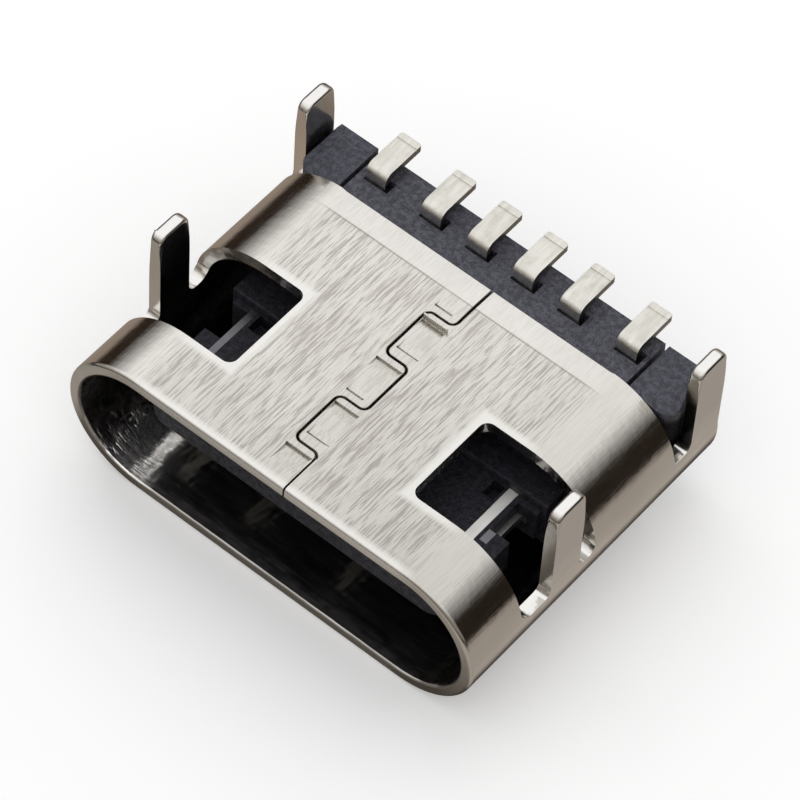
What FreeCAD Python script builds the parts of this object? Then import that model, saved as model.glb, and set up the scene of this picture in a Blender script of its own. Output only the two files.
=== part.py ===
# Six-contact USB-C receptacle, lying on the flat floor side of its shell, solder side up.
# X runs across the mouth, Y from the mouth to the solder feet, Z from the floor side to the solder side.
import FreeCAD, Part
import os
from FreeCAD import Vector

# Shell sheet and mouth, mm
sheet = 0.25
mouth_width = 8.34
mouth_height = 2.56
plate_length = 5.45
mouth_outer_break = 0.07
mouth_inner_break = 0.05
shell_width = mouth_width + 2 * sheet
shell_height = mouth_height + 2 * sheet
outer_round = shell_height / 2
inner_round = mouth_height / 2
mid_height = shell_height / 2
side_inner = mouth_width / 2
side_outer = shell_width / 2

# Board legs
leg_width = 0.76
leg_rise = 0.75
leg_corner = 0.2
front_leg_middle = 2.45
leg_pitch = 3.80
leg_tip = shell_height + leg_rise
leg_middles = (front_leg_middle, front_leg_middle + leg_pitch)

# Windows that free the front legs
window_side = 1.95
window_corner = 0.18
relief_ahead = 0.75
relief_behind = 0.47
relief_rise = 0.09
relief_corner = 0.14
relief_floor = mid_height + relief_rise
window_front = front_leg_middle - leg_width / 2 - relief_ahead
window_rear = front_leg_middle + leg_width / 2 + relief_behind

# Side flaps behind the plate, which carry the rear legs
flap_rear = leg_middles[1] + leg_width / 2
flap_drop = 0.91
flap_corner = 0.3
notch_rise = 0.22
flap_floor = mid_height - flap_drop
notch_floor = mid_height + notch_rise

# Tabs on the rear edge of the floor side: middle across, width
tab_length = 0.28
tab_places = ((2.38, 0.72), (0.28, 1.45), (-1.40, 0.60))

# Interlocking seam of the folded sheet, stepping towards the mouth
seam_gap = 0.04
seam_right = 0.33
seam_left = -0.22
seam_first = 1.03
seam_pitch = 1.165
seam_margin = 0.6
seam_bend = 0.14
stake_offset = 0.2
stake_width = 0.07
stake_depth = 0.03
stake_end_near = 0.06
stake_end_far = 0.14

# Name, pad middle across, foot middle across, row: 1 solder side of the tongue, -1 floor side
contacts = (
    ("contact_a12", 2.75, 2.75, 1),
    ("contact_a9", 1.25, 1.52, 1),
    ("contact_a5", -0.75, -0.50, 1),
    ("contact_b5", 0.75, 0.50, -1),
    ("contact_b9", -1.25, -1.52, -1),
    ("contact_b12", -2.75, -2.75, -1),
)

# Clearance of pieces that are pressed or slid together
fit_gap = 0.02

# Tongue
tongue_tip = 0.65
tongue_width = 6.69
tongue_height = 0.70
tongue_corner = 0.5
tongue_break = 0.12
latch_front = 2.30
latch_rear = 3.02
latch_depth = 0.395
latch_half = tongue_width / 2 - latch_depth

# Thicker root of the tongue and the base that closes the shell
root_front = 3.15
root_height = 1.07
root_width = 6.9
root_break = 0.1
base_length = 0.67
base_beyond = 0.17
base_rear = plate_length + base_beyond
base_front = base_rear - base_length

# Rear body: corner blocks of the housing and the lead carrier between them
foot_width = 0.45
carrier_wall = 0.145
split_gap = 0.08
carrier_half = max(foot_x for _, _, foot_x, _ in contacts) + foot_width / 2 + carrier_wall
body_beyond = 0.07
body_rear = flap_rear + body_beyond
body_top_drop = 0.29
body_top = shell_height - body_top_drop
block_side_gap = 0.04
block_drop = 0.58
block_round = 0.40
block_slope = 0.42
block_slope_fall = 0.55
block_outer = side_inner - block_side_gap
block_inner = carrier_half + split_gap
block_floor = mid_height - block_drop
carrier_depth = 0.77
carrier_floor = body_top - carrier_depth
carrier_inset = 0.1
carrier_front = base_front + carrier_inset
carrier_break = 0.06

# Steel plate inside the tongue
plate_sheet = 0.15
plate_cover_front = 0.2
plate_cover_side = 0.195
plate_cover_latch = 0.1
plate_corner = 0.3
plate_into_base = 0.05
mid_plate_front = tongue_tip + plate_cover_front
mid_plate_rear = base_front + plate_into_base
mid_plate_half = tongue_width / 2 - plate_cover_side
mid_plate_latch_half = latch_half + plate_cover_latch

# Contacts
contact_sheet = 0.16
contact_bend = 0.12
pad_width = 0.25
pad_setback = 0.45
pad_proud = 0.01
jog_length = 0.47
jog_setback = 0.33
drop_setback = 0.31
run_depth = 0.43
foot_rise = 0.05
foot_overhang = 0.35
foot_seat = 0.56
score_back = 0.14
score_width = 0.03
score_depth = 0.025
pad_front = tongue_tip + pad_setback
jog_rear = base_front - jog_setback
jog_front = jog_rear - jog_length
drop_place = carrier_front + drop_setback
run_height = body_top - run_depth
foot_top = shell_height + foot_rise
foot_riser = body_rear - foot_seat
foot_tip = body_rear + foot_overhang

# The frame's origin is the middle of the length and width, at the floor
length_middle = foot_tip / 2

# Long enough to cut right through
beyond = 20.0


def box(x0, x1, y0, y1, z0, z1):
    """Box from its limits."""
    return Part.makeBox(x1 - x0, y1 - y0, z1 - z0, Vector(x0, y0, z0))


def side_box(side, inner, outer, y0, y1, z0, z1):
    """Box on one side of the middle, from its distances across."""
    x0, x1 = sorted((side * inner, side * outer))
    return box(x0, x1, y0, y1, z0, z1)


def upright_edges(solid):
    """Edges that stand along Z."""
    return [e for e in solid.Edges if abs(e.tangentAt(e.FirstParameter).z) > 0.999]


def cross_edges(solid, y, z):
    """Edges along X at one place along Y and one height."""
    found = []
    for edge in solid.Edges:
        middle = edge.CenterOfMass
        across = abs(edge.tangentAt(edge.FirstParameter).x) > 0.999
        if across and abs(middle.y - y) < 1e-6 and abs(middle.z - z) < 1e-6:
            found.append(edge)
    return found


def band_side(points, radius, half, side):
    """One side line of a bent band: wider arcs on the outside of a bend, tighter on the inside."""
    runs = []
    for i in range(len(points) - 1):
        runs.append((points[i + 1] - points[i]).normalize())
    first_out = Vector(-runs[0].y, runs[0].x, 0) * (side * half)
    last_out = Vector(-runs[-1].y, runs[-1].x, 0) * (side * half)
    edges = []
    begin = points[0] + first_out
    here = begin
    for i in range(1, len(points) - 1):
        run_in = runs[i - 1]
        run_out = runs[i]
        out = Vector(-run_in.y - run_out.y, run_in.x + run_out.x, 0) * (side * half)
        corner = points[i] + out
        turn = run_in.x * run_out.y - run_in.y * run_out.x
        own = radius - half if turn * side > 0 else radius + half
        start = corner - run_in * own
        stop = corner + run_out * own
        middle = corner + (run_out - run_in) * (own * (1 - 0.5 ** 0.5))
        edges.append(Part.makeLine(here, start))
        edges.append(Part.Arc(start, middle, stop).toShape())
        here = stop
    end = points[-1] + last_out
    edges.append(Part.makeLine(here, end))
    return edges, begin, end


def band(points, radius, thickness):
    """Face of a band of one thickness along a line of square bends, drawn flat."""
    points = [Vector(a, b, 0) for a, b in points]
    left, left_begin, left_end = band_side(points, radius, thickness / 2, 1)
    right, right_begin, right_end = band_side(points, radius, thickness / 2, -1)
    ends = [Part.makeLine(left_begin, right_begin), Part.makeLine(left_end, right_end)]
    return Part.Face(Part.Wire(Part.__sortEdges__(left + right + ends)))


def round_sided(width, height, y0, y1):
    """Solid with full-round sides, between two places along Y."""
    half = (width - height) / 2
    top = mid_height + height / 2
    floor = mid_height - height / 2
    right = Vector(width / 2, y0, mid_height)
    left = Vector(-width / 2, y0, mid_height)
    a = Vector(-half, y0, floor)
    b = Vector(half, y0, floor)
    c = Vector(half, y0, top)
    d = Vector(-half, y0, top)
    lower = Part.makeLine(a, b)
    upper = Part.makeLine(c, d)
    edges = [lower, Part.Arc(b, right, c).toShape(), upper, Part.Arc(d, left, a).toShape()]
    return Part.Face(Part.Wire(edges)).extrude(Vector(0, y1 - y0, 0))


def tube(y0, y1):
    """Length of the folded sheet tube."""
    outer = round_sided(shell_width, shell_height, y0, y1)
    inner = round_sided(mouth_width, mouth_height, y0 - 1, y1 + 1)
    return outer.cut(inner)


def window(side):
    """Opening through the plate and the round, down to the relief floors beside the front leg."""
    opening = side_box(side, window_side, side_outer + 1, window_front, window_rear, relief_floor, beyond)
    opening = opening.makeFillet(window_corner, upright_edges(opening))
    floor_edges = cross_edges(opening, window_front, relief_floor)
    floor_edges += cross_edges(opening, window_rear, relief_floor)
    return opening.makeFillet(relief_corner, floor_edges)


def leg(side, middle):
    """Board leg: a straight strip of the sheet with a rounded tip, standing on the side wall."""
    front = middle - leg_width / 2
    rear = middle + leg_width / 2
    strip = side_box(side, side_inner, side_outer, front, rear, mid_height, leg_tip)
    tips = cross_edges(strip, front, leg_tip) + cross_edges(strip, rear, leg_tip)
    return strip.makeFillet(leg_corner, tips)


def side_flap(side):
    """Part of the side wall that runs back past the plate, notched ahead of the rear leg."""
    leg_front = leg_middles[1] - leg_width / 2
    reach = side_box(side, side_inner - 1, side_outer + 1, 0, flap_rear, flap_floor, mid_height)
    reach = reach.makeFillet(flap_corner, cross_edges(reach, flap_rear, flap_floor))
    lower = tube(plate_length, flap_rear).common(reach)
    top = notch_floor + relief_corner
    upper = side_box(side, side_inner, side_outer, plate_length, flap_rear, mid_height, top)
    notch = side_box(side, side_inner - 1, side_outer + 1, plate_length - 1, leg_front, notch_floor, beyond)
    notch = notch.makeFillet(relief_corner, cross_edges(notch, leg_front, notch_floor))
    return lower.fuse(upper.cut(notch))


def seam_steps():
    """Places along Y where the seam steps across, from the rear edge to the mouth."""
    places = []
    place = plate_length - seam_first
    while place > seam_margin:
        places.append(place)
        place -= seam_pitch
    return places


def seam():
    """Thin cut through the plate along the interlocking edges of the sheet."""
    here = seam_right
    other = seam_left
    points = [(here, plate_length + 0.1)]
    for place in seam_steps():
        points.append((here, place))
        points.append((other, place))
        here, other = other, here
    points.append((here, -0.1))
    cut = band(points, seam_bend, seam_gap).extrude(Vector(0, 0, 2 * sheet))
    cut.translate(Vector(0, 0, shell_height - 1.5 * sheet))
    return cut


def stake_marks():
    """Shallow punch marks on both sides of each seam step."""
    marks = []
    for place in seam_steps():
        for side in (1, -1):
            left_end, right_end = stake_end_near, stake_end_far
            if side > 0:
                left_end, right_end = stake_end_far, stake_end_near
            x0 = seam_left + left_end
            x1 = seam_right - right_end
            y0 = place + side * stake_offset - stake_width / 2
            marks.append(box(x0, x1, y0, y0 + stake_width, shell_height - stake_depth, beyond))
    return marks


def rim_edges(shell, radius):
    """Edges in the mouth plane that lie on the outline with this side radius."""
    found = []
    for edge in shell.Edges:
        bounds = edge.BoundBox
        if bounds.YMax > 1e-6 or bounds.XLength < 0.3:
            continue
        if edge.Curve.TypeId == "Part::GeomLine":
            on_outline = abs(abs(edge.CenterOfMass.z - mid_height) - radius) < 1e-6
        else:
            on_outline = abs(edge.Curve.Radius - radius) < 1e-6
        if on_outline:
            found.append(edge)
    return found


def make_shell():
    """Folded sheet: tube, windows, legs, rear flaps, tabs and the seam."""
    shell = tube(0, plate_length)
    additions = []
    for side in (1, -1):
        shell = shell.cut(window(side))
        additions.append(side_flap(side))
        for middle in leg_middles:
            additions.append(leg(side, middle))
    for middle, width in tab_places:
        x0 = middle - width / 2
        additions.append(box(x0, x0 + width, plate_length - sheet, plate_length + tab_length, 0, sheet))
    shell = shell.fuse(additions).removeSplitter()
    shell = shell.cut([seam()] + stake_marks())
    shell = shell.makeChamfer(mouth_outer_break, rim_edges(shell, outer_round))
    return shell.makeChamfer(mouth_inner_break, rim_edges(shell, inner_round))


def make_contact(pad_x, foot_x, row):
    """Formed strip: pad on the tongue, sideways jog, riser, run in the carrier and solder foot."""
    level = mid_height + row * (tongue_height / 2 + pad_proud - contact_sheet / 2)
    foot_level = foot_top - contact_sheet / 2
    side_line = [
        (jog_front, level),
        (drop_place, level),
        (drop_place, run_height),
        (foot_riser, run_height),
        (foot_riser, foot_level),
        (foot_tip, foot_level),
    ]
    tail = band(side_line, contact_bend, contact_sheet).extrude(Vector(0, 0, foot_width))
    # The band is drawn flat: its first axis is laid along Y, its second along Z, its width along X.
    turn = FreeCAD.Rotation(Vector(1, 1, 1), 120)
    tail.Placement = FreeCAD.Placement(Vector(foot_x - foot_width / 2, 0, 0), turn)
    z0 = level - contact_sheet / 2
    z1 = level + contact_sheet / 2
    pad = box(pad_x - pad_width / 2, pad_x + pad_width / 2, pad_front, jog_rear, z0, z1)
    x0 = min(pad_x - pad_width / 2, foot_x - foot_width / 2)
    x1 = max(pad_x + pad_width / 2, foot_x + foot_width / 2)
    jog = box(x0, x1, jog_front, jog_rear, z0, z1)
    contact = tail.fuse([pad, jog]).removeSplitter()
    score_rear = foot_tip - score_back
    score = box(foot_x - 1, foot_x + 1, score_rear - score_width, score_rear, foot_top - score_depth, beyond)
    return contact.cut(score)


def make_mid_plate():
    """Steel plate in the middle of the tongue, stepped in at the latch notches."""
    z0 = mid_height - plate_sheet / 2
    z1 = mid_height + plate_sheet / 2
    plate = box(-mid_plate_half, mid_plate_half, mid_plate_front, mid_plate_rear, z0, z1)
    plate = plate.makeFillet(plate_corner, upright_edges(plate))
    for side in (1, -1):
        plate = plate.cut(side_box(side, mid_plate_latch_half, beyond, latch_front, latch_rear, 0, beyond))
    return plate


def make_tongue():
    """Thin front of the moulding with the latch notches, and the thicker root behind it."""
    z0 = mid_height - tongue_height / 2
    z1 = mid_height + tongue_height / 2
    half = tongue_width / 2
    tongue = box(-half, half, tongue_tip, base_front + base_length / 2, z0, z1)
    front = [e for e in upright_edges(tongue) if abs(e.CenterOfMass.y - tongue_tip) < 1e-6]
    tongue = tongue.makeFillet(tongue_corner, front)
    lip = cross_edges(tongue, tongue_tip, z0) + cross_edges(tongue, tongue_tip, z1)
    tongue = tongue.makeChamfer(tongue_break, lip)
    for side in (1, -1):
        tongue = tongue.cut(side_box(side, latch_half, beyond, latch_front, latch_rear, 0, beyond))
    z0 = mid_height - root_height / 2
    z1 = mid_height + root_height / 2
    root = box(-root_width / 2, root_width / 2, root_front, base_front + base_length / 2, z0, z1)
    steps = cross_edges(root, root_front, z0) + cross_edges(root, root_front, z1)
    return tongue.fuse(root.makeChamfer(root_break, steps))


def corner_block(side):
    """Rear corner block: round front, sloping outer top edge, lower half inside the shell's round."""
    front = base_rear - base_beyond / 2
    block = side_box(side, block_inner, block_outer, front, body_rear, block_floor, body_top)
    outer_front = [e for e in upright_edges(block) if abs(abs(e.CenterOfMass.x) - block_outer) < 1e-6
                   and abs(e.CenterOfMass.y - front) < 1e-6]
    block = block.makeFillet(block_round, outer_front)
    slope = Part.makePolygon([
        Vector(side * (block_outer - block_slope), 0, body_top),
        Vector(side * (block_outer + 1), 0, body_top),
        Vector(side * (block_outer + 1), 0, body_top - block_slope_fall),
        Vector(side * block_outer, 0, body_top - block_slope_fall),
        Vector(side * (block_outer - block_slope), 0, body_top),
    ])
    block = block.cut(Part.Face(slope).extrude(Vector(0, beyond, 0)))
    within = round_sided(mouth_width - 2 * fit_gap, mouth_height - 2 * fit_gap, 0, beyond)
    lower = block.common(box(-beyond, beyond, 0, beyond, 0, mid_height)).common(within)
    upper = block.common(box(-beyond, beyond, 0, beyond, mid_height, beyond))
    return lower.fuse(upper)


def make_housing(contact_shapes, mid_plate):
    """Moulding: tongue, root, base and corner blocks, with the seats of the metal pieces cut out."""
    base = round_sided(mouth_width - 2 * fit_gap, mouth_height - 2 * fit_gap, base_front, base_rear)
    housing = make_tongue().fuse([base, corner_block(1), corner_block(-1)]).removeSplitter()
    seat_front = carrier_front - fit_gap
    seat_floor = carrier_floor - fit_gap
    seat = box(-block_inner, block_inner, seat_front, beyond, seat_floor, beyond)
    housing = housing.cut(seat)
    return housing.cut([mid_plate] + contact_shapes)


def make_lead_carrier(contact_shapes):
    """Moulded bar between the corner blocks, which holds the runs that lead to the solder feet."""
    bar = box(-carrier_half, carrier_half, carrier_front, body_rear, carrier_floor, body_top)
    edges = cross_edges(bar, body_rear, body_top) + cross_edges(bar, body_rear, carrier_floor)
    return bar.makeChamfer(carrier_break, edges).cut(contact_shapes)


def save(shape, name):
    """Move a finished piece into the frame and write it."""
    shape = shape.copy()
    shape.translate(Vector(0, -length_middle, 0))
    print(name, "solids", len(shape.Solids), "valid", shape.isValid(), "volume", round(shape.Volume, 4))
    shape.exportStep("parts/" + name + ".step")


def main():
    """Build every piece and write one file each."""
    os.makedirs("parts", exist_ok=True)
    made = {}
    for name, pad_x, foot_x, row in contacts:
        made[name] = make_contact(pad_x, foot_x, row)
    strips = list(made.values())
    mid_plate = make_mid_plate()
    made["mid_plate"] = mid_plate
    made["shell"] = make_shell()
    made["housing"] = make_housing(strips, mid_plate)
    made["lead_carrier"] = make_lead_carrier(strips)
    for name, shape in made.items():
        save(shape, name)


main()
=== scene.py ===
# %% [markdown]
# # A board-mount socket in folded steel, a lesson in small hard-surface modelling
#
# The object is a socket about 9 mm wide that is soldered to a circuit board. It lies on its
# flat floor side. A strip of steel is folded to a tube with round sides, and its two ends
# meet in a dovetail seam on the upper side. Black plastic closes the tube at the back and
# carries a thin tongue in the mouth. Flat plated leads come out at the back.
#
# The CAD model fixes every size. Here each piece is modelled again with the small forms that
# a plain solid leaves out, such as round rims, because they catch the light.

# %% Load the CAD model as a fixed frame
import math
import bpy
from mathutils import Matrix, Vector


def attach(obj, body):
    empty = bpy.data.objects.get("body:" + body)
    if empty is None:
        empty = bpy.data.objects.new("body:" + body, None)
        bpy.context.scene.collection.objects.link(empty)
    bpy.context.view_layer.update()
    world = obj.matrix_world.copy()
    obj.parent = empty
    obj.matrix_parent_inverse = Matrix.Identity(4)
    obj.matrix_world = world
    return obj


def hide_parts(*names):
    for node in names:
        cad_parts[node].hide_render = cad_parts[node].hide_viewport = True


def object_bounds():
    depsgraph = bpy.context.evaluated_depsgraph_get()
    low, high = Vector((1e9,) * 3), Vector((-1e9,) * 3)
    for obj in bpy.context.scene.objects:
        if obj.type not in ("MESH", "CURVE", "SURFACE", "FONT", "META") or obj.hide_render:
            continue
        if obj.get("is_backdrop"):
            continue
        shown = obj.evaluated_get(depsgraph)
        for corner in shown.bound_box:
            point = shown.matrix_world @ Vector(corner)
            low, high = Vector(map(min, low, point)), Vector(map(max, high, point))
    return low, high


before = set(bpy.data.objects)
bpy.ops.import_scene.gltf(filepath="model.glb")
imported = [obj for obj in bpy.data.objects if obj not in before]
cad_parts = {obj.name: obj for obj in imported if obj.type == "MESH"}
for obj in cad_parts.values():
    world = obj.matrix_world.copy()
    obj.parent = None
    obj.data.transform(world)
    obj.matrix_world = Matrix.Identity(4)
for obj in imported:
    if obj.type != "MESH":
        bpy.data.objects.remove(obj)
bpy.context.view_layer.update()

# %% [markdown]
# ## Working in millimetres
#
# Blender's tools have fixed thresholds of a tenth of a millimetre in many places, which is
# as large as the bends here. So every piece is modelled at a thousand times its size, one
# unit to the millimetre, and shrunk when it is finished. Y runs from the mouth, at 0, to
# the leads, and the finished piece moves back by the distance from the mouth to the middle.
#
# Every tool of Blender acts on what is selected. As a script has no mouse, faces and edges
# are selected by a test of their place or direction, and a few helpers do that.

# %% Helpers: pick one object, go in and out of edit mode
HAIR = 1e-3  # mm, how near a place has to be to count as the same


def deselect():
    """Drop the selection, so that the next tool meets only what it should."""
    bpy.ops.object.select_all(action="DESELECT")


def only(piece):
    """Make one object the only selected and active one."""
    deselect()
    piece.select_set(True)
    bpy.context.view_layer.objects.active = piece


def pick(piece, kind, test):
    """Select the faces, edges or vertices that pass the test, in edit mode, and count them."""
    only(piece)
    mesh = piece.data
    bpy.ops.object.mode_set(mode="EDIT")
    bpy.ops.mesh.select_mode(type=kind)
    bpy.ops.mesh.select_all(action="DESELECT")
    bpy.ops.object.mode_set(mode="OBJECT")
    for vertex in mesh.vertices:
        vertex.select = False
    points = [vertex.co.copy() for vertex in mesh.vertices]
    items, measure = {
        "FACE": (mesh.polygons, lambda face: (face.center, face.normal)),
        "EDGE": (mesh.edges, lambda edge: [points[i] for i in edge.vertices]),
        "VERT": (mesh.vertices, lambda vertex: (vertex.co,)),
    }[kind]
    count = 0
    for item in items:
        item.select = bool(test(*measure(item)))
        count += item.select
    bpy.ops.object.mode_set(mode="EDIT")
    return count


def done(piece):
    """Leave edit mode."""
    bpy.ops.object.mode_set(mode="OBJECT")
    return piece


print("places count as the same within", HAIR, "mm")


# %% Helpers: blocks, cuts and joins
def settle(name):
    """Name the primitive that was just added, and apply its place and size to its mesh."""
    piece = bpy.context.object
    piece.name = piece.data.name = name
    bpy.ops.object.transform_apply(location=True, rotation=True, scale=True)
    return piece


def block(name, x0, x1, y0, y1, z0, z1):
    """A cube primitive brought to its limits."""
    deselect()
    middle = ((x0 + x1) / 2, (y0 + y1) / 2, (z0 + z1) / 2)
    bpy.ops.mesh.primitive_cube_add(size=1, location=middle, scale=(x1 - x0, y1 - y0, z1 - z0))
    return settle(name)


def apply(piece, kind, **settings):
    """Add one modifier and apply it at once."""
    only(piece)
    modifier = piece.modifiers.new(kind.title(), kind)
    for key, value in settings.items():
        setattr(modifier, key, value)
    bpy.ops.object.modifier_apply(modifier=modifier.name)
    return piece


def combine(piece, tool, operation):
    """Work on a piece with a tool, then throw the tool away."""
    apply(piece, "BOOLEAN", operation=operation, object=tool, solver="EXACT")
    bpy.data.objects.remove(tool)
    return piece


def cut(piece, tool):
    """Cut a tool out of a piece."""
    return combine(piece, tool, "DIFFERENCE")


def join(piece, tool):
    """Join a tool on to a piece."""
    return combine(piece, tool, "UNION")


def round_edges(piece, test, width, segments=6):
    """Bevel the edges whose two ends pass the test, and count them."""
    count = pick(piece, "EDGE", test)
    bpy.ops.mesh.bevel(offset=width, segments=segments, profile=0.5, affect="EDGES",
                       clamp_overlap=False)
    done(piece)
    return count


def along(axis):
    """Test for edges that run along one axis."""
    def test(a, b):
        d = b - a
        return abs(d[axis]) > 0.999 * d.length
    return test


def count_faces(piece):
    """Print how many faces a piece has by now."""
    print(piece.name, "faces:", len(piece.data.polygons))


X, Y, Z = 0, 1, 2
trial = block("trial", 0, 1, 0, 1, 0, 1)
print("upright edges of a block:", pick(trial, "EDGE", along(Z)))
bpy.data.objects.remove(done(trial))

# %% [markdown]
# ## The shell
#
# The real shell starts as a flat strip. Its windows and legs are stamped out first, then it
# is folded round and its ends are hooked together. It could be modelled flat and bent, but
# the folded form is simple: a bar with full-round sides, hollowed. A cube whose four long
# edges are bevelled by half its height gives exactly that section, so the bar is made twice,
# once for the outside and once for the hollow.

# %% Folded tube
SHEET = 0.25
MOUTH_WIDTH, MOUTH_HEIGHT = 8.34, 2.56
SHELL_WIDTH, SHELL_HEIGHT = MOUTH_WIDTH + 2 * SHEET, MOUTH_HEIGHT + 2 * SHEET
MIDDLE = SHELL_HEIGHT / 2
SIDE_END = 6.63
ROUND_STEPS = 24


def round_bar(name, width, height, y0, y1, segments):
    """Bar with full-round sides: a cube with its long edges bevelled by half its height."""
    bar = block(name, -width / 2, width / 2, y0, y1, MIDDLE - height / 2, MIDDLE + height / 2)
    round_edges(bar, along(Y), height / 2, segments)
    pick(bar, "VERT", lambda p: True)
    bpy.ops.mesh.remove_doubles(threshold=1e-4)
    bpy.ops.mesh.dissolve_limited(angle_limit=math.radians(0.2))
    return done(bar)


shell = round_bar("shell_tube", SHELL_WIDTH, SHELL_HEIGHT, 0, SIDE_END, ROUND_STEPS)
hollow = round_bar("hollow", MOUTH_WIDTH, MOUTH_HEIGHT, -1, SIDE_END + 1, ROUND_STEPS)
cut(shell, hollow)
print("tube, mm:", [round(v, 2) for v in shell.dimensions])
count_faces(shell)

# %% [markdown]
# ## Windows and the cut-back rear
#
# Each window runs from the flat over the round and down the side wall. It sets the front leg
# free, which is why the opening's floor is so low. Behind the plate only the side walls go
# on, as flaps that carry the rear legs. Both are cut with rounded blocks, as a punch does.
# The window punch is the part that two blocks share. One has round upright corners and the
# other a round underside, because one block can't take both rounds at its lower corners.

# %% Punch the windows and cut back the rear
PLATE_END = 5.45
WINDOW = (1.95, 1.32, 3.30)  # inner side, front, rear
RELIEF, NOTCH, FLAP = 1.62, 1.75, 0.62  # heights of the window's floor and of the flap's edges
CORNER_RADIUS, FRONT_RADIUS, REAR_RADIUS = 0.18, 0.26, 0.22


def punch(side):
    """Window punch: upright corners rounded, and softly rounded where it meets the side wall."""
    inner, front, rear = WINDOW
    x0, x1 = sorted((side * inner, side * 6))
    tool = block("window_punch", x0, x1, front, rear, RELIEF, 5)
    round_edges(tool, along(Z), CORNER_RADIUS, 6)
    relief = block("relief_punch", x0 - 1, x1 + 1, front, rear, RELIEF, 6)
    for place, radius in ((front, FRONT_RADIUS), (rear, REAR_RADIUS)):
        lower = lambda a, b: along(X)(a, b) and a.z < RELIEF + HAIR and abs(a.y - place) < HAIR
        round_edges(relief, lower, radius, 6)
    return combine(tool, relief, "INTERSECT")


for side in (1, -1):
    cut(shell, punch(side))
cut(shell, block("rear_cut", -6, 6, PLATE_END, 8, NOTCH, 5))
cut(shell, block("floor_cut", -6, 6, PLATE_END, 8, -1, FLAP))
count_faces(shell)

# %% [markdown]
# ## Legs and tabs
#
# A leg is the same sheet as the wall below it, so it is pulled out of the wall's cut face.
# The face is first divided where the leg's two edges stand, with the bisect tool, and the
# middle part is extruded. The tabs on the floor's rear edge are pulled out the same way.

# %% Pull the legs and tabs out of the cut faces
LEG_WIDTH, LEG_TIP = 0.76, 3.81
LEG_FRONTS = (2.07, 5.87)
TABS = ((2.38, 0.72), (0.28, 1.45), (-1.40, 0.60))  # middle and width
TAB_LENGTH = 0.28


def pull(piece, test, cuts, axis, inside, direction):
    """Divide the faces that pass the test at some planes, then extrude the part between them."""
    normal = Vector((0, 0, 0))
    normal[axis] = 1
    for place in cuts:
        pick(piece, "FACE", test)
        bpy.ops.mesh.bisect(plane_co=normal * place, plane_no=normal, threshold=1e-5)
        done(piece)
    count = pick(piece, "FACE", lambda c, n: test(c, n) and inside(c))
    bpy.ops.mesh.extrude_region_move(TRANSFORM_OT_translate={"value": direction})
    done(piece)
    return count


for side in (1, -1):
    for front, floor in zip(LEG_FRONTS, (RELIEF, NOTCH)):
        rear = front + LEG_WIDTH
        on_floor = lambda c, n: n.z > 0.9 and abs(c.z - floor) < HAIR and c.x * side > 3.5
        cuts = (front, rear) if rear < SIDE_END else (front,)
        between = lambda c: front < c.y < rear
        print("leg faces:", pull(shell, on_floor, cuts, Y, between, (0, 0, LEG_TIP - floor)))
for middle, width in TABS:
    low, high = middle - width / 2, middle + width / 2
    on_edge = lambda c, n: n.y > 0.9 and abs(c.y - PLATE_END) < HAIR and c.z < 0.5
    between = lambda c: low < c.x < high
    print("tab faces:", pull(shell, on_edge, (low, high), X, between, (0, TAB_LENGTH, 0)))

# %% [markdown]
# ## Rounds on the legs
#
# A punch never cuts a sharp inner corner, because it would crack there, so the leg runs into
# the wall with a small round at its root. The tip is rounded so that it finds its hole in
# the board. Each round is a bevel of edges that are found by their height and direction.

# %% Round the tips, the flap corners and the roots of the legs
TIP_RADIUS, FLAP_RADIUS, TIP_RIM = 0.2, 0.3, 0.07
ROOTS = ((RELIEF, LEG_FRONTS[0], 0.15), (RELIEF, LEG_FRONTS[0] + LEG_WIDTH, 0.2),
         (NOTCH, LEG_FRONTS[1], 0.2))  # height, place and radius

tips = lambda a, b: along(X)(a, b) and abs(a.z - LEG_TIP) < HAIR
print("tip edges:", round_edges(shell, tips, TIP_RADIUS, 8))
at_flap = lambda p: abs(p.z - FLAP) < HAIR and abs(p.y - SIDE_END) < HAIR
print("flap edges:", round_edges(shell, lambda a, b: at_flap(a) and at_flap(b), FLAP_RADIUS, 8))
for floor, place, radius in ROOTS:
    root = lambda a, b: along(X)(a, b) and abs(a.z - floor) < HAIR and abs(a.y - place) < HAIR
    print("root edges:", round_edges(shell, root, radius, 6))
tip_rims = lambda a, b: (min(a.z, b.z) > LEG_TIP - TIP_RADIUS - HAIR and abs(a.x - b.x) < HAIR
                         and not along(Z)(a, b) and abs(a.x) > 4.1)
print("tip rim edges:", round_edges(shell, tip_rims, TIP_RIM, 4))

# %% [markdown]
# ## Coined rear band
#
# The last half millimetre of the plate was pressed a little thinner, so it dips towards the
# rear edge and shows a faint line where the dip begins. The plate is divided there with the
# bisect tool and the vertices on its rear edge are lowered by three hundredths.

# %% Press the rear band of the plate
COIN_START, COIN_DROP = 4.95, 0.03
FLAT_HALF = (SHELL_WIDTH - SHELL_HEIGHT) / 2


def reach(x, z):
    """Distance from the middle line of the round, or of the flat, in the tube's section."""
    return math.hypot(max(abs(x) - FLAT_HALF, 0), z - MIDDLE)


outside = lambda c, n: n.z > 0.05 and c.z > NOTCH + 0.02 and reach(c.x, c.z) > 1.5
pick(shell, "FACE", outside)
bpy.ops.mesh.bisect(plane_co=(0, COIN_START, 0), plane_no=(0, 1, 0), threshold=1e-5)
done(shell)
rear_edge = lambda p: (p.y > PLATE_END - HAIR and abs(p.z - SHELL_HEIGHT) < HAIR
                       and abs(p.x) < FLAT_HALF + HAIR)
print("rear edge vertices:", pick(shell, "VERT", rear_edge))
bpy.ops.transform.translate(value=(0, 0, -COIN_DROP))
done(shell)

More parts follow.
